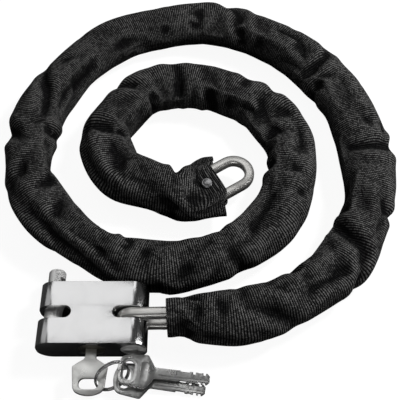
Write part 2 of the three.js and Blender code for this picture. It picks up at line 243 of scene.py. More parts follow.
def bolt_steel():
    """Bright bolt whose right side is rough and pitted where it stands out of the lock."""
    shader = steel("bolt_steel", (0.95, 0.95, 0.94), 0.42, metallic=0.3)
    place = shader.node("ShaderNodeSeparateXYZ", Vector=shader.coordinates())
    pits = shader.noise(PITS_PER_METRE, detail=4, roughness=0.7)
    side = shader.spread(place.outputs[0], *ROUGH_SIDE)
    start = shader.spread(place.outputs[1], *ROUGH_START)
    end = shader.spread(place.outputs[1], *ROUGH_END, 1, 0)
    patch = shader.product(side, start, end)
    share = shader.product(patch, shader.spread(pits, 0.42, 0.58, 0.1, 1.0))
    bright = shader.surface.inputs["Base Color"].links[0].from_socket
    rough = shader.surface.inputs["Roughness"].links[0].from_socket
    shader.set("Base Color", shader.mix(share, bright, (0.24, 0.24, 0.24)))
    shader.set("Roughness", shader.math("ADD", rough, shader.product(patch, 0.3)))
    shader.set("Normal", shader.bump(shader.product(pits, patch), 0.25 * MM))
    return shader.material


FINISHES = (
    ("chromed_steel", (0.87, 0.87, 0.875), 0.17, {"grain": 0.05, "tarnish": 0.03}),
    ("staked_steel", (0.9, 0.9, 0.89), 0.36,
     {"grain": 0.2, "tarnish": 0.5, "scratch": 0.2 * MM, "metallic": 0.3}),
    ("brass", (0.44, 0.42, 0.36), 0.35, {"tarnish": 0.5}),
    ("zinc_steel", (0.66, 0.66, 0.66), 0.35, {}),
    ("spring_steel", (0.52, 0.53, 0.55), 0.3, {}),
    ("nickel_key", (0.82, 0.82, 0.80), 0.24, {"grain": 0.16, "tarnish": 0.22}),
    ("worn_key", (0.82, 0.82, 0.81), 0.2, {"grain": 0.22, "tarnish": 0.6, "scratch": 0.08 * MM}),
    ("ring_steel", (0.78, 0.78, 0.78), 0.18, {}),
    ("chain_steel", (0.88, 0.87, 0.84), 0.26,
     {"grain": 0.22, "tarnish": 0.55, "brushed": (0.3, 1, 1), "metallic": 0.85}),
    ("rivet_steel", (0.55, 0.55, 0.56), 0.28, {"tarnish": 0.5}),
)
MATERIALS = {finish[0]: steel(*finish, **extra).material for *finish, extra in FINISHES}
MATERIALS["sleeve_nylon"] = nylon()
MATERIALS["bolt_steel"] = bolt_steel()
SLOT_OF = {row["node"]: row["material_slot"] for row in frame["record"]["subparts"]}
BODY_OF = {node: body for body, nodes in frame["record"]["behaviour"]["bodies"].items() for node in nodes}


def shown(name, mesh, body, slot, replaces=(), material=None):
    """Makes a mesh a piece of the model, riding on a body, with its slot's material."""
    piece = in_scene(name, mesh)
    mesh.materials.clear()
    mesh.materials.append(MATERIALS[material or slot])
    if body:
        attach(piece, body)
    if replaces:
        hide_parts(*replaces)
    return piece


def smooth(mesh, angle=35):
    mesh.polygons.foreach_set("use_smooth", [True] * len(mesh.polygons))
    mesh.set_sharp_from_angle(angle=math.radians(angle))
    return mesh


def refined(node, bevel, segments=3, angle=40, material=None):
    """A CAD node's shape with its sharp edges rounded, in place of the node."""
    shape = bmesh.new()
    shape.from_mesh(frame["nodes"][node].data)
    bmesh.ops.remove_doubles(shape, verts=shape.verts, dist=1e-6)
    bmesh.ops.dissolve_limit(shape, angle_limit=math.radians(1), verts=shape.verts, edges=shape.edges)
    bend = math.radians(angle)
    sharp = [edge for edge in shape.edges if edge.is_manifold and edge.calc_face_angle() > bend]
    if bevel:
        bmesh.ops.bevel(shape, geom=sharp, offset=bevel, segments=segments, profile=0.5,
                        affect="EDGES", clamp_overlap=True)
    mesh = bpy.data.meshes.new(node + "_shape")
    shape.to_mesh(mesh)
    shape.free()
    return shown(node + "_look", smooth(mesh), BODY_OF[node], SLOT_OF[node], [node], material)


def mesh_from(name, points, faces):
    mesh = bpy.data.meshes.new(name)
    mesh.from_pydata([tuple(p) for p in points], [], [tuple(f) for f in faces])
    mesh.validate()
    return mesh


def square(reach):
    return [(-reach, -reach, 0), (reach, -reach, 0), (reach, reach, 0), (-reach, reach, 0)]


def bands(count, sides, wrap=False):
    """Four-sided faces between one ring of points and the next; with wrap, the last ring joins the first."""
    faces = []
    for i in range(count if wrap else count - 1):
        low, high = i * sides, (i + 1) % count * sides
        for k in range(sides):
            m = (k + 1) % sides
            faces.append((low + k, low + m, high + m, high + k))
    return faces


def lathe(name, profile, sides=64, relief=None):
    """A closed body turned about Z from (radius, height) points that start and end on the axis."""
    points = []
    for radius, height in profile[1:-1]:
        for i in range(sides):
            turn = 2 * math.pi * i / sides
            lift = relief(radius, turn) if relief else 0
            points.append((radius * math.cos(turn), radius * math.sin(turn), height + lift))
    count = len(points)
    points += [(0, 0, profile[0][1]), (0, 0, profile[-1][1])]
    faces = bands(count // sides, sides)
    for i in range(sides):
        j = (i + 1) % sides
        faces.append((count, j, i))
        faces.append((count - sides + i, count - sides + j, count + 1))
    return mesh_from(name, points, faces)


def swept(name, centres, across, up, section, closed):
    """A bar swept along centres; across and up give each section's axes, section is (across, up) points."""
    count, sides = len(centres), len(section)
    points = [
        centre + a * sideways + b * upright
        for centre, sideways, upright in zip(centres, across, up)
        for a, b in section
    ]
    faces = [(a, d, c, b) for a, b, c, d in bands(count, sides, wrap=closed)]
    if not closed:
        faces.append(tuple(range(sides)))
        faces.append(tuple((count - 1) * sides + k for k in reversed(range(sides))))
    return mesh_from(name, points, faces)


# ---- Chain links ----

# The links' sizes are those of the CAD: bar, straight part, and radius of the eye to the bar's middle.
BAR = 6 * MM
STRAIGHT = 31 * MM
EYE = 8 * MM
END_EYE = 10 * MM
LINKS = 28
UP = np.array([0.0, 0.0, 1.0])


def chain_hinges():
    """Hinge points from the lock's pin to the free end's eye, and each link's heading in radians."""
    joints = [j for j in frame["joints"] if j["parent"].startswith("chain_")]
    places = [np.array(j["pos_m"]) for j in joints]
    headings = np.concatenate([[0], np.cumsum([math.radians(j["range_deg"][1]) for j in joints])])
    pin = next(j for j in frame["joints"] if j["name"] == "chain_swing")["pos_m"]
    first = np.array([places[0][0] - STRAIGHT - EYE, 0, pin[2]])
    end = places[-1] + STRAIGHT * np.array([math.cos(headings[-1]), math.sin(headings[-1]), 0])
    return [first, *places, end], headings


HINGES, HEADINGS = chain_hinges()
MIDDLES = [(a + b) / 2 for a, b in zip(HINGES, HINGES[1:])]


def bar_section(corner=1.7 * MM, per_corner=4):
    points = []
    reach = BAR / 2 - corner
    for quarter, (x, y) in enumerate(((1, 1), (-1, 1), (-1, -1), (1, -1))):
        for i in range(per_corner):
            turn = math.pi / 2 * (quarter + i / (per_corner - 1))
            points.append((x * reach + corner * math.cos(turn), y * reach + corner * math.sin(turn)))
    return points


def link_shape(name, eye, centre, along, normal):
    """A closed link in the plane of along and its side, with a slight weld bead on one straight."""
    side = np.cross(normal, along)
    path, outward = [], []
    arc = 22
    for end, start in ((1, -math.pi / 2), (-1, math.pi / 2)):
        for i in range(arc + 1):
            turn = start + math.pi * i / arc
            out = math.cos(turn) * along + math.sin(turn) * side
            path.append(centre + end * STRAIGHT / 2 * along + eye * out)
            outward.append(out)
        for share in (0.25, 0.42, 0.47, 0.5, 0.53, 0.58, 0.75):
            path.append(centre + end * (0.5 - share) * STRAIGHT * along + eye * end * side)
            outward.append(end * side)
    bead = [1.0] * len(path)
    middle = arc + 1 + 3
    for offset, scale in ((-1, 1.03), (0, 1.05), (1, 1.03)):
        bead[middle + offset] = scale
    across = [out * scale for out, scale in zip(outward, bead)]
    up = [normal * scale for scale in bead]
    return smooth(swept(name, path, across, up, bar_section(), closed=True))


def link_place(number):
    """A link's middle and the direction of its length; the first link hangs on the lock's pin."""
    start, end = HINGES[number - 1], HINGES[number]
    along = (end - start) / np.linalg.norm(end - start)
    centre = start + along * STRAIGHT / 2 if number == 1 else (start + end) / 2
    return centre, along


def add_links():
    for number in range(1, LINKS + 1):
        node = f"link_{number:02d}"
        centre, along = link_place(number)
        side = np.cross(UP, along)
        side /= np.linalg.norm(side)
        normal = np.cross(along, side) if number % 2 == 0 else side
        eye = END_EYE if number == LINKS else EYE
        mesh = link_shape(node + "_shape", eye, centre, along, normal)
        shown(node + "_look", mesh, BODY_OF[node], SLOT_OF[node], [node])


# ---- Sleeve ----

CHAIN_HEIGHT = 13 * MM
MOUTH = np.array([41 * MM, 0, CHAIN_HEIGHT])
RIVET = np.array([63.7 * MM, 88.0 * MM, CHAIN_HEIGHT])
FREE_EDGE = np.array([73.3 * MM, 89.6 * MM, CHAIN_HEIGHT])
EDGE_HEADING = math.radians(11)
RIVET_GRIP = 5.2 * MM

# The grid of points: rows this far apart along the sleeve, and points round each row. The centre line has
# FINE_STEPS points.
ROW_STEP = 1.4 * MM
RING = 80
FINE_STEPS = 6000

WALL = 1.1 * MM
HALF_WIDTH = 15.3 * MM
HALF_HEIGHT = 13.2 * MM
MOUTH_LEFT, MOUTH_RIGHT = 10.3 * MM, 10.9 * MM
FLAT_LEFT, FLAT_RIGHT, FLAT_TOP, FLAT_BOTTOM = 22.6 * MM, 22.9 * MM, 5.5 * MM, 5.3 * MM
# Seeded swells of the section: how many, and the range of their widths in mm.
SWELLS = 26
SWELL_WIDTHS = (12, 26)

# Room kept to the floor, to the lock, and to the right of the lock for the chain's swing.
FLOOR_GAP = 0.35 * MM
LOCK_GAP = 0.5 * MM
SWING_ROOM = 6 * MM
LOCK_SLOPE = 0.45

# Folds: the radius that turns an angle round the sleeve into a distance, the depth and height that they
# tend to, and how far the camera's view of the sleeve is turned from straight above.
FOLD_RADIUS = 14 * MM
DEEPEST = 6.5 * MM
HIGHEST = 1.7 * MM
FOLD_STRENGTH = 1.2
VIEW_TURN = math.radians(30)

# How far the sleeve's inner and outer sides stand off their usual place: (mm along it, inner mm, outer mm).
SIDE_SHIFTS = (
    (0, 0, 0), (18, -1.5, -0.5), (28, 0, -3), (45, 0.5, 0), (130, 0, 0), (165, -2, 3), (215, 0, 3),
    (265, 0, 1.5), (310, 0, 0), (500, 0, 0), (525, -1, 1.5), (550, -4, 3), (585, 0, 0), (625, -2.5, 0),
    (660, 0, 0), (720, -1, 0), (760, 0, 2), (790, -3.5, 4.5), (815, -3, 3), (840, -1, 1), (885, 0, 0),
    (920, -3, 4.5), (945, -1.5, 5), (965, -3, 4.5), (990, 0, 1), (1040, 0, 0),
)
# The main folds, each a line from one place to another: (mm along the sleeve, share of the way across it from
# the inner outline to the outer one as the camera sees it, the same for its other end, width mm, depth mm).
MAIN_FOLDS = (
    (12, 0, 18, 0.3, 2.5, 3), (15, 0.85, 40, 0.95, 2.2, 1.8), (28, 0.1, 32, 0.35, 2.6, 2.4),
    (47, 0.25, 65, 0.85, 3, 3.6), (80, 0, 82, 0.4, 2.8, 3.2), (80, 0.45, 112, 0.55, 3.2, 4),
    (103, 1, 115, 0.7, 2.4, 3.2), (123, 0.15, 115, 0.65, 2.8, 3.8), (128, -0.1, 125, 0.3, 2.8, 5),
    (148, 1.05, 150, 0.75, 2.2, 3.2), (160, 0.7, 135, 0.75, 2.8, 3), (152, 0.3, 140, 0.5, 3, 2.4),
    (195, 1.05, 192, 0.2, 2.6, 4.2), (203, 0.95, 196, 0.85, 2.2, 3), (218, 0.4, 206, 0.75, 3, 3.4),
    (258, 0.35, 222, 0.5, 5, 4.6), (248, 0, 247, 0.4, 2.8, 4), (268, 0.9, 262, 0.1, 2.4, 5.2),
    (306, 0.75, 274, 0.6, 3.2, 4), (315, 0.75, 308, 0.35, 3, 2.6), (345, 1, 322, 0.1, 3, 4.4),
    (364, 0.4, 360, 0.7, 3.8, 4.6), (386, 0.3, 386, 0.5, 2.8, 2.2), (426, 0.3, 410, 0.2, 2.8, 3.2),
    (452, 0.45, 456, 0.2, 3, 4), (458, 0.2, 492, 0.15, 5, 4.6), (466, 0.7, 458, 0.6, 2.6, 2.6),
    (478, 0.9, 506, 0.4, 2.4, 4), (484, 0.65, 506, 0.3, 2.2, 3.2), (521, -0.05, 519, 0.35, 2.6, 4.6),
    (520, 1, 527, 0.65, 3.6, 4.8), (534, 0.1, 556, 0.75, 3.2, 4), (556, 0, 566, 0.3, 2.6, 3.2),
    (562, 0.85, 628, 0.85, 2.8, 4.2), (570, 0.6, 602, 0.72, 2.4, 3.4), (582, 0.1, 590, 0.4, 3.4, 3.6),
    (592, 0.35, 632, 0.52, 3.2, 3.8), (620, -0.05, 626, 0.4, 2.6, 4.4), (634, -0.05, 638, 0.2, 2.4, 3.2),
    (648, 0.12, 652, 0.25, 3, 2.2), (674, 0.35, 668, 0.7, 4.2, 4), (697, -0.05, 700, 0.2, 2.4, 3.4),
    (702, 0.45, 750, 0.22, 4, 4.8), (698, 0.5, 701, 0.95, 2.8, 3.2), (753, 0.8, 750, 0.6, 2.4, 2.6),
    (769, -0.1, 766, 0.55, 3, 5.5), (797, -0.05, 794, 0.5, 3.2, 4.2), (812, 0.75, 778, 0.7, 3.2, 3.4),
    (834, 0.4, 802, 0.3, 5.5, 4.6), (838, 0.95, 843, 0.15, 2.8, 4), (848, 0.8, 847, 0.4, 2.4, 2.6),
    (861, 0.75, 853, 0, 3.2, 5.2), (881, 0.85, 886, 0, 3, 5.8), (825, 1.05, 822, 0.8, 2.2, 2.4),
    (913, 0.95, 909, -0.05, 2.4, 5.2), (924, 0.65, 920, 0.2, 3.2, 3.4), (936, 0.45, 934, 0.2, 2.6, 2.4),
    (946, 0.95, 951, 0.05, 2.6, 4), (956, 0.35, 996, 0.5, 4.6, 5.2), (950, 0.9, 986, 0.88, 3.2, 3),
    (1008, -0.1, 1011, 0.25, 2.2, 5), (1012, 0.1, 1021, 0.45, 2, 2.6), (1003, 0.85, 1018, 0.8, 2.2, 2),
)
# Small wrinkles: how many, and the ranges of their depths, lengths and widths in mm.
WRINKLES = (
    (60, (0.5, 1.5), (10, 24), (2.2, 3.6)),
    (90, (0.3, 0.9), (5, 14), (1.0, 1.7)),
)


def spline(knots, values, at):
    """Natural cubic spline through values at knots, read at the places at."""
    knots, values = np.asarray(knots, float), np.asarray(values, float)
    count = len(knots)
    gaps = np.diff(knots)
    system, right = np.eye(count), np.zeros((count, values.shape[1]))
    for i in range(1, count - 1):
        system[i, i - 1 : i + 2] = gaps[i - 1], 2 * (gaps[i - 1] + gaps[i]), gaps[i]
        right[i] = 6 * ((values[i + 1] - values[i]) / gaps[i] - (values[i] - values[i - 1]) / gaps[i - 1])
    bend = np.linalg.solve(system, right)
    cell = np.clip(np.searchsorted(knots, at, side="right") - 1, 0, count - 2)
    width = gaps[cell][:, None]
    after = ((at - knots[cell]) / gaps[cell])[:, None]
    before = 1 - after
    bent = ((before**3 - before) * bend[cell] + (after**3 - after) * bend[cell + 1]) * width**2 / 6
    return before * values[cell] + after * values[cell + 1] + bent


def centre_line():
    """Control points of the centre line: hinges drawn to the inside of the bend, links to the outside."""
    points = [MOUTH[:2]]
    for link in range(1, LINKS):
        if link > 1:
            outward = np.array([math.sin(HEADINGS[link - 1]), -math.cos(HEADINGS[link - 1])])
            points.append(MIDDLES[link - 1][:2] + 0.5 * MM * outward)
        turn = HEADINGS[link] - HEADINGS[link - 1]
        facing = (HEADINGS[link] + HEADINGS[link - 1]) / 2
        inward = np.array([-math.sin(facing), math.cos(facing)])
        points.append(HINGES[link][:2] + min(2.6, 0.5 + 3.2 * turn) * MM * inward)
    points += [RIVET[:2], FREE_EDGE[:2]]
    return np.array(points)


class Path:
    """The sleeve's centre line as rows: place, tangent and side at each, with the distance along it."""

    def __init__(self):
        knots = centre_line()
        span = np.concatenate([[0], np.cumsum(np.linalg.norm(np.diff(knots, axis=0), axis=1))])
        fine = spline(span, knots, np.linspace(0, span[-1], FINE_STEPS))
        self.fine = fine
        self.fine_length = np.concatenate([[0], np.cumsum(np.linalg.norm(np.diff(fine, axis=0), axis=1))])
        self.length = self.fine_length[-1]
        self.joins = [self.nearest(MIDDLES[link - 1]) for link in range(2, LINKS)]
        stops = [0.0, *self.joins, self.length]
        rows, self.stop_rows = [0.0], [0]
        for a, b in zip(stops, stops[1:]):
            steps = max(2, round((b - a) / ROW_STEP))
            rows += [a + (b - a) * i / steps for i in range(1, steps + 1)]
            self.stop_rows.append(len(rows) - 1)
        self.at = np.array(rows)
        self.place = self.point(self.at)
        tangent = np.gradient(self.place, self.at, axis=0)
        self.tangent = tangent / np.linalg.norm(tangent, axis=1)[:, None]
        self.tilt_ends()
        self.side = np.stack([-self.tangent[:, 1], self.tangent[:, 0]], axis=1)

    def point(self, at):
        return np.stack([np.interp(at, self.fine_length, self.fine[:, i]) for i in (0, 1)], axis=1)

    def nearest(self, point):
        return self.fine_length[np.argmin(((self.fine - point[:2]) ** 2).sum(1))]

    def tilt_ends(self):
        """Turns the rows evenly to the heading of the cut edge at the free end, so that they don't cross."""
        run, turning = 55 * MM, 50 * MM
        heading = np.arctan2(self.tangent[:, 1], self.tangent[:, 0])
        start = np.interp(self.length - run, self.at, heading)
        share = np.clip((self.at - self.length + run) / turning, 0, 1)
        heading = start + (EDGE_HEADING - start) * share
        even = np.stack([np.cos(heading), np.sin(heading)], axis=1)
        self.tangent = np.where(share[:, None] > 0, even, self.tangent)


def smoothstep(t):
    t = np.clip(t, 0, 1)
    return t * t * (3 - 2 * t)


def bell(distance, width):
    return np.exp(-((distance / width) ** 2))


def blurred(values, rows):
    kernel = bell(np.arange(-3 * rows, 3 * rows + 1), rows)
    kernel /= kernel.sum()
    padded = np.pad(values, (3 * rows, 3 * rows), mode="edge")
    return np.convolve(padded, kernel, mode="valid")


def room_beside(path, sign):
    """How wide the sleeve may be on one side of each row before it meets the lock or another turn."""
    narrowest, widest, step_width = 6 * MM, 18 * MM, 0.25 * MM
    beside, another_turn, half_gap = 4 * MM, 70 * MM, 0.25 * MM
    lock = [[np.array(corner)[:2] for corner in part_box(node)] for node in ("lock_body", "locking_bolt")]
    reach = np.linspace(narrowest, widest, round((widest - narrowest) / step_width) + 1)
    room = np.full(len(path.at), widest)
    for i, (place, side, tangent) in enumerate(zip(path.place, path.side, path.tangent)):
        offset = path.fine - place
        ahead = np.abs(offset @ tangent) < beside
        far = np.abs(path.fine_length - path.at[i]) > another_turn
        lateral = (offset @ side) * sign
        others = lateral[ahead & far & (lateral > 0)]
        if len(others):
            room[i] = min(room[i], others.min() / 2 - half_gap)
        probe = place + sign * reach[:, None] * side
        for low, high in lock:
            inside = np.all((probe > low - LOCK_GAP) & (probe < high + (SWING_ROOM, LOCK_GAP)), axis=1)
            if inside.any():
                room[i] = min(room[i], reach[inside][0])
    return room


def towards(values, goal, share):
    """The values drawn by a share of the way to a goal."""
    return values * (1 - share) + goal * share


def sleeve_sections(path):
    """Half widths to the left and right, half heights up and down, and roundness of each row's section."""
    at = path.at
    upright = np.zeros(len(at))
    for link in range(1, LINKS, 2):
        upright += bell(at - path.nearest(MIDDLES[link - 1]), 19 * MM)
    left = HALF_WIDTH + (0.7 - 1.3 * upright) * MM
    right = left + 0.2 * MM
    top = HALF_HEIGHT - (1.6 - 1.9 * upright) * MM
    for _ in range(SWELLS):
        centre = rng.uniform(0.05, 0.95) * path.length
        width = rng.uniform(*SWELL_WIDTHS) * MM
        size = rng.normal(0, 0.55) * MM
        left = left + size * bell(at - centre, width)
        right = right + rng.normal(0, 0.45) * MM * bell(at - centre - 8 * MM, width)
        top = top + rng.normal(0, 0.5) * MM * bell(at - centre, width)
    place, inner, outer = np.array(SIDE_SHIFTS).T * MM
    left = left + blurred(np.interp(at, place, inner), 4)
    right = right + blurred(np.interp(at, place, outer), 4)
    bottom = np.full(len(at), CHAIN_HEIGHT - FLOOR_GAP)
    roundness = 0.86 + 0.16 * upright

    neck, mouth = bell(at - 15 * MM, 9 * MM), smoothstep(1 - at / (30 * MM))
    left = towards(left, MOUTH_LEFT, mouth) - 0.4 * MM * neck
    right = towards(right, MOUTH_RIGHT, mouth) - 0.6 * MM * neck
    top = towards(top, HALF_HEIGHT, mouth)

    def from_end(start, length):
        return smoothstep((at - (path.length - start)) / length)

    flat, late, low = from_end(31 * MM, 15 * MM), from_end(33 * MM, 27 * MM), from_end(27 * MM, 15 * MM)
    left = towards(left, FLAT_LEFT, flat)
    right = towards(right, FLAT_RIGHT, late)
    top = towards(top, FLAT_TOP, low)
    bottom = towards(bottom, FLAT_BOTTOM, low)
    roundness = towards(roundness, 0.9, flat)
    left_room, right_room = (np.where(flat < 0.5, room_beside(path, sign), np.inf) for sign in (1, -1))
    left, right = np.minimum(left, left_room), np.minimum(right, right_room)
    return [blurred(values, 2) for values in (left, right, top, bottom, roundness)]


def tube(path, sections):
    """The sleeve's surface as rows of rings: right, top, left and bottom in turn."""
    left, right, top, bottom, roundness = (values[:, None] for values in sections)
    turn = 2 * math.pi * np.arange(RING)[None, :] / RING
    cos, sin = np.cos(turn), np.sin(turn)
    across = np.sign(cos) * np.abs(cos) ** roundness * np.where(cos > 0, left, right)
    height = np.sign(sin) * np.abs(sin) ** roundness * np.where(sin > 0, top, bottom)
    surface = np.zeros((len(path.at), RING, 3))
    surface[:, :, :2] = path.place[:, None, :] + across[:, :, None] * path.side[:, None, :]
    surface[:, :, 2] = CHAIN_HEIGHT + height
    return surface


def normals_of(surface):
    along = np.gradient(surface, axis=0)
    around = np.roll(surface, -1, axis=1) - np.roll(surface, 1, axis=1)
    normal = np.cross(around, along)
    return normal / np.maximum(np.linalg.norm(normal, axis=2, keepdims=True), 1e-12)


def fold(across, width):
    """Cross-section of one fold: a sharp valley, 1 deep, between two soft raised lips."""
    valley = np.exp(0.35 - np.sqrt(across**2 + (0.35 * width) ** 2) / width)
    return valley - 0.4 * bell(np.abs(across) - 2.5 * width, width)


def creases(path):
    """Height of the modelled folds: the main ones from the table, and small seeded wrinkles between them."""
    turn = 2 * math.pi * np.arange(RING)[None, :] / RING
    at = path.at[:, None]
    depth = np.zeros((len(path.at), RING))
    back = math.pi - 0.6

    def add(start, end, width, size):
        """Adds one fold between two points, each a place along the sleeve and an angle round it."""
        (first_at, first_turn), (last_at, last_turn) = start, end
        run = np.array([last_at - first_at, (last_turn - first_turn) * FOLD_RADIUS])
        length = np.hypot(*run)
        x = at - first_at
        y = ((turn - first_turn + back) % (2 * math.pi) - back) * FOLD_RADIUS
        forward, aside = (x * run[0] + y * run[1]) / length, (y * run[0] - x * run[1]) / length
        bow = 0.08 * length * (1 - (2 * forward / length - 1) ** 2)
        depth[:] -= size * fold(aside + bow, width) * bell(forward - length / 2, 0.58 * length + 1 * MM)

    for first_at, first_share, last_at, last_share, width, size in MAIN_FOLDS:
        ends = []
        for place, share in ((first_at, first_share), (last_at, last_share)):
            heading = np.interp(place * MM, path.at, path.tangent[:, 0])
            seen = math.acos(min(max(1 - 2 * share, -1), 1)) + math.pi * (share - min(max(share, 0), 1))
            ends.append((place * MM, seen + VIEW_TURN * heading))
        add(*ends, width * MM, FOLD_STRENGTH * size * MM)
    for count, sizes, lengths, widths in WRINKLES:
        for _ in range(count):
            place, middle = rng.uniform(0.03, 0.95) * path.length, rng.uniform(0.1, math.pi + 0.2)
            length, slant = rng.uniform(*lengths) * MM, rng.uniform(-1.5, 1.5)
            end = (place + length * math.cos(slant), middle + length * math.sin(slant) / FOLD_RADIUS)
            add((place, middle), end, rng.uniform(*widths) * MM, rng.uniform(*sizes) * MM)
    calm = smoothstep((path.length - 12 * MM - path.at) / (10 * MM)) * smoothstep(path.at / (8 * MM))
    depth = np.where(depth < 0, DEEPEST * np.tanh(depth / DEEPEST), HIGHEST * np.tanh(depth / HIGHEST))
    return averaged(depth * calm[:, None], 1)


def averaged(grid, passes):
    """Each value of a grid, rows by ring, drawn towards its neighbours."""
    for _ in range(passes):
        beside = (np.roll(grid, 1, axis=1) + np.roll(grid, -1, axis=1)) / 2
        padded = np.concatenate([grid[:1], grid, grid[-1:]])
        grid = grid / 2 + beside / 4 + (padded[:-2] + padded[2:]) / 8
    return grid


def hollowness(surface, normals):
    """How far each point lies below the fabric around it, in metres; ridges are negative."""
    return np.sum((averaged(surface, 30) - surface) * normals, axis=2)


def clear_of_links(surface):
    """Pushes the fabric off the links, as if drawn over them, with its wall's thickness between."""
    bar, gap = BAR / 2, WALL + 0.4 * MM
    ease, near = 2 * MM, 60 * MM
    for number in range(1, LINKS + 1):
        start, end = HINGES[number - 1][:2], HINGES[number][:2]
        facing = np.array([math.cos(HEADINGS[number - 1]), math.sin(HEADINGS[number - 1])])
        centre = start + facing * STRAIGHT / 2 if number == 1 else (start + end) / 2
        offset = surface[:, :, :2] - centre
        along = np.abs(offset @ facing)
        sideways = offset @ np.array([-facing[1], facing[0]])
        height = surface[:, :, 2] - CHAIN_HEIGHT
        radius = (END_EYE if number == LINKS else EYE) + bar
        beyond = np.maximum(along - STRAIGHT / 2, 0)
        profile = np.sqrt(np.maximum(radius**2 - beyond**2, 0)) + gap
        profile = np.where(beyond < radius, profile, 0)
        out, thin = (sideways, height) if number % 2 == 0 else (height, sideways)
        within = smoothstep((bar + gap + ease - np.abs(thin)) / ease)
        push = np.maximum(profile - np.abs(out), 0) * within
        push = np.where(np.linalg.norm(offset, axis=2) < near, push, 0) * np.sign(out)
        if number % 2 == 0:
            surface[:, :, 0] -= push * facing[1]
            surface[:, :, 1] += push * facing[0]
        else:
            surface[:, :, 2] += push
    return surface


def under_rivet(surface):
    """Draws the fabric in under both heads of the rivet."""
    under_head, slope = 4.2 * MM, 0.9
    distance = np.linalg.norm(surface[:, :, :2] - RIVET[:2], axis=2)
    limit = RIVET_GRIP + np.maximum(distance - under_head, 0) * slope
    surface[:, :, 2] = np.clip(surface[:, :, 2], CHAIN_HEIGHT - limit, CHAIN_HEIGHT + limit)
    return surface


def clear_of_lock(path, surface):
    """Presses the later turn of the sleeve in where it would reach into the lock's top end."""
    low, high = (np.array(corner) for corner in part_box("lock_body"))
    across = surface[:, :, 0]
    past = np.maximum(0, np.maximum(low[0] - LOCK_GAP - across, across - high[0] - SWING_ROOM))
    edge = high[1] + LOCK_GAP - LOCK_SLOPE * past
    later = (path.at > path.length / 2)[:, None]
    surface[:, :, 1] = np.where(later, np.maximum(surface[:, :, 1], edge), surface[:, :, 1])
    return surface


def settled_on_floor(surface):
    surface[:, :, 2] = np.maximum(surface[:, :, 2], FLOOR_GAP)
    return surface


# The cloth is simulated ten times its size, on a coarser grid, and no point may end up further than
# MOST_MOVE from where it started.
SIM_SCALE = 10
SIM_FRAMES = 22
SIM_ROW_SKIP = 3
SIM_RING_SKIP = 2
MOST_MOVE = 4.5 * MM
GRAVITY = 0.05
CLOTH = {
    "quality": 6, "mass": 0.25, "tension_stiffness": 18, "compression_stiffness": 18, "shear_stiffness": 6,
    "bending_stiffness": 1.2, "shrink_min": -0.07, "use_pressure": True, "uniform_pressure_force": 3.0,
    "vertex_group_mass": "held", "pin_stiffness": 1,
}


def scaled_up(name, points, faces):
    return in_scene(name, mesh_from(name, np.asarray(points) * SIM_SCALE, faces))


def collider(name, points, faces, thickness):
    """A solid, at the simulation's scale, that the cloth rests on."""
    holder = scaled_up(name, points, faces)
    holder.modifiers.new("collision", "COLLISION")
    holder.collision.thickness_outer = thickness * SIM_SCALE
    holder.collision.thickness_inner = 0.5 * MM * SIM_SCALE
    holder.collision.cloth_friction = 12
    return holder


def colliders():
    """The floor and every link, as solids that the cloth rests on."""
    made = [collider("floor_block", square(1), [(0, 1, 2, 3)], 0.3 * MM)]
    for number in range(1, LINKS + 1):
        mesh = bpy.data.objects[f"link_{number:02d}_look"].data
        points = [tuple(v.co) for v in mesh.vertices]
        faces = [tuple(p.vertices) for p in mesh.polygons]
        made.append(collider(f"link_block_{number}", points, faces, 0.7 * MM))
    return made


def cloth_tube(start, at, length):
    """The coarse tube with its cloth settings, held at its mouth and at its riveted end."""
    count, sides = start.shape[:2]
    cloth = scaled_up("cloth", start.reshape(-1, 3), bands(count, sides))
    held = smoothstep(1 - at / (12 * MM)) + smoothstep((at - length + 30 * MM) / (14 * MM))
    pin = cloth.vertex_groups.new(name="held")
    for r, weight in enumerate(np.clip(held, 0.0, 1)):
        for k in range(sides):
            pin.add([r * sides + k], float(weight), "REPLACE")
    modifier = cloth.modifiers.new("cloth", "CLOTH")
    for name, value in CLOTH.items():
        setattr(modifier.settings, name, value)
    modifier.settings.effector_weights.gravity = GRAVITY
    modifier.collision_settings.distance_min = 0.3 * MM * SIM_SCALE
    modifier.collision_settings.collision_quality = 3
    modifier.point_cache.frame_start, modifier.point_cache.frame_end = 1, SIM_FRAMES
    return cloth


def settle(path, surface):
    """Lets the tube, cut a little too long and too wide, buckle over the links and the floor."""
    rows = np.arange(0, len(path.at), SIM_ROW_SKIP)
    if rows[-1] != len(path.at) - 1:
        rows = np.append(rows, len(path.at) - 1)
    columns = np.arange(0, RING, SIM_RING_SKIP)
    start = surface[rows][:, columns]
    cloth = cloth_tube(start, path.at[rows], path.length)
    blocks = colliders()
    for step in range(1, SIM_FRAMES + 1):
        scene.frame_set(step)
    moved = np.zeros(start.size)
    evaluated(cloth).data.vertices.foreach_get("co", moved)
    moved = moved.reshape(start.shape) / SIM_SCALE - start
    for holder in (cloth, *blocks):
        bpy.data.objects.remove(holder)
    scene.frame_set(1)
    size = np.linalg.norm(moved, axis=2, keepdims=True)
    moved *= np.tanh(size / MOST_MOVE) * MOST_MOVE / np.maximum(size, 1e-9)
    moved = refine(moved, path.at[rows], path.at, 0)
    return refine(moved, columns, np.arange(RING), 1)


def refine(values, coarse, fine, axis):
    """Reads a grid between its rows (axis 0) or columns (axis 1) along a smooth curve; columns join up."""
    values = np.moveaxis(values, axis, 0)
    if axis == 1:
        step = coarse[1] - coarse[0]
        values = np.concatenate([values[-2:], values, values[:3]])
        before, after = coarse[0] + step * np.array([-2, -1]), coarse[-1] + step * np.arange(1, 4)
        coarse = np.concatenate([before, coarse, after])
    shape = values.shape[1:]
    read = spline(coarse, values.reshape(len(coarse), -1), fine)
    return np.moveaxis(read.reshape(len(fine), *shape), 0, axis)


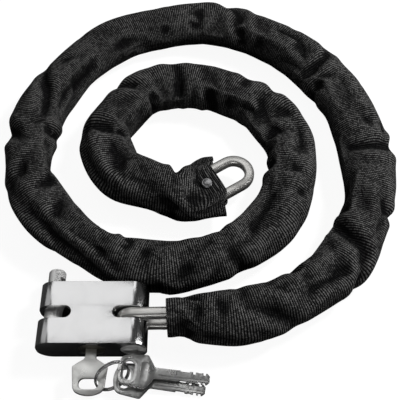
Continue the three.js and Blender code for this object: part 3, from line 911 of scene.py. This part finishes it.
def sleeve_mesh(number, surface, normals, path, first, last):
    """One closed length of the sleeve, from row first to row last, with an inner wall and rims."""
    rows = last - first + 1
    outer = surface[first : last + 1].reshape(-1, 3)
    flat = normals[first : last + 1].reshape(-1, 3)
    inner = outer - WALL * flat
    faces, uvs, shading = [], [], []
    around = 90.0 / RING
    half = rows * RING
    for r in range(rows - 1):
        low, high = (path.at[first + r + i] / MM for i in (0, 1))
        for k in range(RING):
            m = (k + 1) % RING
            ids = (r * RING + k, r * RING + m, (r + 1) * RING + m, (r + 1) * RING + k)
            left, right = k * around, (k + 1) * around
            spots = [(low, left), (low, right), (high, right), (high, left)]
            vectors = [flat[i] for i in ids]
            faces.append(ids)
            uvs += spots
            shading += vectors
            faces.append(tuple(half + i for i in reversed(ids)))
            uvs += spots[::-1]
            shading += [-v for v in vectors[::-1]]
    for r, order in ((0, 1), (rows - 1, -1)):
        facing = np.array([*path.tangent[first + r], 0]) * -order
        place = path.at[first + r] / MM
        for k in range(RING):
            m = (k + 1) % RING
            ids = (r * RING + k, half + r * RING + k, half + r * RING + m, r * RING + m)
            left, right = k * around, (k + 1) * around
            spots = [(place, left), (place + 1, left), (place + 1, right), (place, right)]
            faces.append(ids[::order])
            uvs += spots[::order]
            shading += [facing] * 4
    mesh = bpy.data.meshes.new(f"sleeve_{number:02d}_shape")
    mesh.from_pydata(np.concatenate([outer, inner]).tolist(), [], faces)
    layer = mesh.uv_layers.new(name="weave")
    layer.data.foreach_set("uv", np.array(uvs, np.float32).ravel())
    mesh.polygons.foreach_set("use_smooth", [True] * len(mesh.polygons))
    mesh.normals_split_custom_set([tuple(v) for v in shading])
    return mesh


def blend_length(piece):
    """Bakes the length's placement into its mesh."""
    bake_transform(piece)


def add_sleeve():
    """The sleeve in 27 closed lengths, one across each joint of the chain, that meet rim to rim."""
    path = Path()
    surface = tube(path, sleeve_sections(path))
    surface = surface + settle(path, surface)
    surface = surface + creases(path)[:, :, None] * normals_of(surface)
    for passes in (3, 1):
        surface = averaged(clear_of_links(surface), passes)
    surface = settled_on_floor(under_rivet(clear_of_lock(path, surface)))
    normals = normals_of(surface)
    hollow = hollowness(surface, normals)
    for number, (first, last) in enumerate(zip(path.stop_rows, path.stop_rows[1:]), start=1):
        mesh = sleeve_mesh(number, surface, normals, path, first, last)
        depths = np.tile(hollow[first : last + 1].ravel(), 2).astype(np.float32)
        mesh.attributes.new("hollow", "FLOAT", "POINT").data.foreach_set("value", depths)
        piece = shown(f"sleeve_length_{number:02d}", mesh, None, "sleeve_nylon")
        blend_length(piece)
        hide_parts(f"sleeve_{(number + 1) // 2:02d}")


def add_rivet():
    """The rivet through the free end: two flat heads with a raised rim."""
    low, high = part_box("sleeve_rivet")
    centre = (low + high) / 2
    half = (high - low).z / 2
    outline = ((0, 0.3), (2.3, 0.25), (2.7, 0), (3.1, 0.05), (3.5, 0.5), (3.65, 1), (3.5, 1.6), (2, 1.8))
    head = [(radius * MM, half - below * MM) for radius, below in outline]
    profile = [(radius, -height) for radius, height in head] + head[::-1]
    mesh = smooth(lathe("rivet_shape", profile, 48), 50)
    mesh.transform(Matrix.Translation(centre))
    shown("sleeve_rivet_look", mesh, "chain_28", "rivet_steel", ["sleeve_rivet"])


# ---- Keys and ring ----

LOCK_MIDDLE = 11 * MM
KEY_SHOULDER = -22.9
KEY_HOLE_AT = -15.0
KEY_THICKNESS = 2.0
BLADE = (6.2, 30.0)
BOW = (19.5, 21.4)
BITS = ((13.6, 0.5, 0.7, 5.2), (20.4, 1.3, 0.25, 1.7), (23.4, 0.25, 1.2, 1.9), (26.2, 1.3, 1.0, 1.6))
RING_CENTRE = (12.3, -33, 10)
RING_RADIUS, RING_WIRE, RING_PITCH, RING_WINDS = 9.6, 1.1, 1.25, 2
RING_TURN, RING_LEAN = 30, 70
SPARES = {
    "spare_key_a": {"hole": (21.3, -29.4, 8.8), "heading": -4.9, "dip": 6.4},
    "spare_key_b": {"hole": (18.9, -32.6, 3.7), "heading": -7.6, "dip": 3},
}


def flat_solid(name, outlines, thickness, bevel):
    """A closed plate with rounded edges from outlines in millimetres; those after the first are holes."""
    curve = bpy.data.curves.new(name, "CURVE")
    curve.dimensions = "2D"
    curve.fill_mode = "BOTH"
    curve.extrude = (thickness / 2 - bevel) * MM
    curve.bevel_depth = bevel * MM
    curve.bevel_resolution = 2
    curve.offset = -bevel * MM
    for outline in outlines:
        points = curve.splines.new("POLY")
        points.points.add(len(outline) - 1)
        for target, (x, y) in zip(points.points, outline):
            target.co = (x * MM, y * MM, 0, 1)
        points.use_cyclic_u = True
    holder = in_scene(name, curve)
    bpy.context.view_layer.update()
    mesh = bpy.data.meshes.new_from_object(evaluated(holder))
    bpy.data.objects.remove(holder)
    shape = bmesh.new()
    shape.from_mesh(mesh)
    bmesh.ops.remove_doubles(shape, verts=shape.verts, dist=2e-6)
    bmesh.ops.recalc_face_normals(shape, faces=shape.faces)
    shape.to_mesh(mesh)
    shape.free()
    return mesh


def curved(start, control, end, steps=6):
    """Points of a quadratic curve after its start."""
    start, control, end = (np.array(point) for point in (start, control, end))
    points = []
    for i in range(1, steps + 1):
        t = i / steps
        points.append(tuple((1 - t) ** 2 * start + 2 * t * (1 - t) * control + t * t * end))
    return points


def key_outline():
    half, blade = BOW[0] / 2, BLADE[0] / 2
    right = [(blade, 0)]
    right += curved(right[-1], (blade + 0.2, -1.2), (blade + 1.8, -1.9))
    right.append((half - 0.6, -4.8))
    right += curved(right[-1], (half, -5.2), (half, -6.2), 3)
    right.append((half - 1, -16))
    right += curved(right[-1], (half - 1.4, -19.2), (half - 4, -20.2))
    bottom = curved(right[-1], (0, 20.2 - 2 * BOW[1]), (-half + 4, -20.2), 12)
    left = [(-x, y) for x, y in reversed(right)]
    edge_left, edge_right = [], []
    slant, chamfer, tip = 0.2, 1.5, BLADE[1]
    for y, cut_left, cut_right, length in BITS:
        for edge, side, cut in ((edge_left, -1, cut_left), (edge_right, 1, cut_right)):
            full, cut_to = side * blade, side * (blade - cut)
            edge += [(full, y), (cut_to, y + slant), (cut_to, y + length - slant), (full, y + length)]
    edge_left += [(-blade, tip - chamfer), (-blade + chamfer, tip)]
    edge_right += [(blade, tip - chamfer), (blade - chamfer, tip)]
    return right + bottom[:-1] + left + edge_left + edge_right[::-1]


def oval(centre, length, width, steps=12):
    """A stadium along X about a centre, in millimetres."""
    points = []
    for end, start in ((1, -90), (-1, 90)):
        for i in range(steps + 1):
            turn = math.radians(start + 180 * i / steps)
            points.append((centre[0] + end * (length - width) / 2 + width / 2 * math.cos(turn),
                           centre[1] + width / 2 * math.sin(turn)))
    return points


def boolean(mesh, tool, operation, name):
    """The mesh joined with, or cut by, a tool mesh."""
    holders = [in_scene(f"{name}_{i}", m) for i, m in enumerate((mesh, tool))]
    modifier = holders[0].modifiers.new("cut", "BOOLEAN")
    modifier.operation = operation
    modifier.object = holders[1]
    modifier.solver = "EXACT"
    bpy.context.view_layer.update()
    made = bpy.data.meshes.new_from_object(evaluated(holders[0]))
    for holder in holders:
        bpy.data.objects.remove(holder)
    return made


def key_mesh():
    """A flat key: bow with a hole, two pressed ovals on its upper face, and a cut, grooved blade."""
    key = flat_solid("key_blank", [key_outline(), oval((0, KEY_HOLE_AT), 11, 6)], KEY_THICKNESS, 0.3)
    for outline in (oval((0, -6.6), 11.6, 4.6), oval((0, KEY_HOLE_AT), 14.2, 9.0)):
        press = flat_solid("key_press", [outline], 0.9, 0.2)
        press.transform(Matrix.Translation((0, 0, KEY_THICKNESS / 2 * MM)))
        key = boolean(key, press, "DIFFERENCE", "key")
    groove = flat_solid("key_groove", [[(0.6, 1.5), (1.8, 1.5), (1.8, 29), (0.6, 29)]], 0.9, 0.1)
    groove.transform(Matrix.Translation((0, 0, KEY_THICKNESS / 2 * MM)))
    key = boolean(key, groove, "DIFFERENCE", "key")
    return smooth(key, 30)


def add_keys():
    blank = key_mesh()
    places = {"key_in_lock": Matrix.Translation((0, KEY_SHOULDER * MM, LOCK_MIDDLE)) @ turned(180, "Y")}
    for name, spare in SPARES.items():
        hole = Matrix.Translation(Vector(spare["hole"]) * MM)
        turn = turned(spare["heading"] - 90, "Z") @ turned(-spare["dip"], "X")
        places[name] = hole @ turn @ Matrix.Translation((0, -KEY_HOLE_AT * MM, 0))
    for name, place in places.items():
        mesh = blank.copy()
        mesh.transform(place)
        worn = "worn_key" if name in SPARES else None
        shown(name + "_look", mesh, BODY_OF[name], "nickel_key", [name], material=worn)


def add_ring():
    """Split ring: two winds of round wire, lying against each other."""
    steps = 72 * RING_WINDS
    centres, across, up = [], [], []
    for i in range(steps + 1):
        turn = 2 * math.pi * RING_WINDS * i / steps
        out = np.array([math.cos(turn), math.sin(turn), 0.0])
        height = RING_PITCH * RING_WINDS * (i / steps - 0.5)
        centres.append((RING_RADIUS * out + np.array([0, 0, height])) * MM)
        across.append(out)
        up.append(np.array([0, 0, 1.0]))
    wire = [(RING_WIRE / 2 * MM * math.cos(a), RING_WIRE / 2 * MM * math.sin(a))
            for a in np.linspace(0, 2 * math.pi, 12, endpoint=False)]
    mesh = smooth(swept("ring_shape", centres, across, up, wire, closed=False))
    lean = turned(RING_TURN, "Z") @ turned(RING_LEAN, "X")
    mesh.transform(Matrix.Translation(Vector(RING_CENTRE) * MM) @ lean)
    shown("key_ring_look", mesh, "ring", "ring_steel", ["key_ring"])


# ---- Padlock ----


def add_pin_plug():
    """The plug staked into the bottom end: a raised rim round a three-cornered sunk face."""
    low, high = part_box("pin_plug")
    radius, depth = (high - low).x / 2, (high - low).y
    corner, rim, sunk, inner = 0.35 * MM, 0.9 * MM, 0.9 * MM, 3.0 * MM

    def stake(distance, turn):
        side = inner / math.cos((turn + math.pi / 3) % (2 * math.pi / 3) - math.pi / 3)
        return -sunk * float(smoothstep((side - distance) / (0.8 * MM)))

    floor = depth - 0.35 * MM
    profile = [(0, 0), (radius, 0), (radius, depth - corner), (radius - corner, depth), (radius - rim, depth)]
    profile += [(radius - step * MM, floor) for step in (1.3, 1.9, 2.5, 3.0, 3.5, 4.0, 4.5, 5.0, 5.6, 6.3)]
    profile.append((0, floor - sunk))
    mesh = smooth(lathe("pin_plug_shape", profile, 72, stake), 40)
    centre = (low + high) / 2
    mesh.transform(Matrix.Translation((centre.x, high.y, centre.z)) @ turned(90, "X"))
    shown("pin_plug_look", mesh, BODY_OF["pin_plug"], SLOT_OF["pin_plug"], ["pin_plug"], "staked_steel")


def add_padlock():
    refined("lock_body", 0.45 * MM)
    refined("locking_bolt", 0.25 * MM, segments=2, material="bolt_steel")
    for node in ("fixed_pin", "cylinder_shell", "cylinder_plug"):
        refined(node, 0.2 * MM, segments=2)
    for node in ("cylinder_retaining_pin", "wafer_1", "wafer_2", "wafer_3", "cylinder_cam", "latch"):
        refined(node, 0.15 * MM, segments=2)
    refined("bolt_spring", 0)
    add_pin_plug()


# ---- Studio ----

# The camera stands at the photograph's angle; both its points are in mm.
CAMERA_AIM = (60.5, 86.8, 0)
CAMERA_PLACE = (60.5, -160.1, 395.2)
CAMERA_LENS = 64.8
# Each light's name, place, aim, size, power in watts, and whether the steel mirrors it.
LIGHTS = (
    ("overhead", (-0.28, 0.55, 1.12), (0.0, 0.04, 0.02), (0.74, 1.0), 1.95, True),
    ("end_box", (0.28, 0.85, 1.1), (0.08, 0.08, 0.02), (0.35, 0.45), 0.5, True),
    ("key", (0.75, 0.45, 0.8), (0.08, 0.0, 0), (0.2, 0.2), 12.0, False),
    ("left_box", (-1.0, 0.4, 0.8), (0, 0, 0.02), (0.5, 0.9), 0.5, True),
    ("right_strip", (1.0, 0.1, 0.45), (0, 0, 0.02), (0.06, 1.0), 2.0, True),
    ("front_strip", (0.1, -1.1, 0.4), (0, 0, 0.02), (1.0, 0.2), 2.0, True),
)
# How bright the surroundings are to the camera and to everything else.
SEEN, UNSEEN = 0.93, 0.03


def add_camera():
    data = bpy.data.cameras.new("camera")
    data.lens = CAMERA_LENS
    data.sensor_width = 36
    data.clip_start = 0.01
    camera = in_scene("camera", data)
    camera.location = Vector(CAMERA_PLACE) * MM
    camera.rotation_euler = (Vector(CAMERA_AIM) * MM - camera.location).to_track_quat("-Z", "Y").to_euler()
    scene.camera = camera


def add_floor():
    """A pale floor: it glows as bright as the surroundings, with faint shadows, but only to the camera."""
    mesh = mesh_from("floor", square(9), [(0, 1, 2, 3)])
    floor = in_scene("floor", mesh)
    shader = Shader("floor", Roughness=1.0)
    shader.set("Base Color", (0.12, 0.12, 0.12))
    shader.set("Specular IOR Level", 0.0)
    paths = shader.node("ShaderNodeLightPath")
    shader.set("Emission Color", (1.0, 1.0, 1.0))
    shader.set("Emission Strength", SEEN)
    dim = shader.node("ShaderNodeBsdfDiffuse", Color=(0.05, 0.05, 0.05))
    chooser = shader.node("ShaderNodeMixShader", Fac=paths.outputs["Is Camera Ray"])
    shader.tree.links.new(dim.outputs[0], chooser.inputs[1])
    shader.tree.links.new(shader.surface.outputs[0], chooser.inputs[2])
    shader.tree.links.new(chooser.outputs[0], shader.tree.nodes["Material Output"].inputs["Surface"])
    mesh.materials.append(shader.material)


def add_light(name, place, aim, size, power, mirrored):
    """A softbox; one that isn't mirrored lights the cloth and steel but isn't seen in the steel's polish."""
    data = bpy.data.lights.new(name, "AREA")
    data.shape = "RECTANGLE"
    data.size, data.size_y = size
    data.energy = power
    light = in_scene(name, data)
    light.location = place
    light.visible_glossy = mirrored
    light.rotation_euler = (Vector(aim) - Vector(place)).to_track_quat("-Z", "Y").to_euler()


def add_world():
    """White surroundings: bright to the camera, and almost dark to everything they light."""
    world = bpy.data.worlds.new("studio")
    world.use_nodes = True
    nodes, links = world.node_tree.nodes, world.node_tree.links
    background = nodes["Background"]
    background.inputs["Color"].default_value = (1, 1, 1, 1)
    strength = nodes.new("ShaderNodeMapRange")
    strength.inputs["To Min"].default_value = UNSEEN
    strength.inputs["To Max"].default_value = SEEN
    links.new(nodes.new("ShaderNodeLightPath").outputs["Is Camera Ray"], strength.inputs["Value"])
    links.new(strength.outputs["Result"], background.inputs["Strength"])
    scene.world = world


def add_studio():
    add_camera()
    add_floor()
    for light in LIGHTS:
        add_light(*light)
    add_world()
    scene.view_settings.view_transform = "Standard"


add_padlock()
add_keys()
add_ring()
add_links()
add_sleeve()
add_rivet()
add_studio()

bpy.context.view_layer.update()
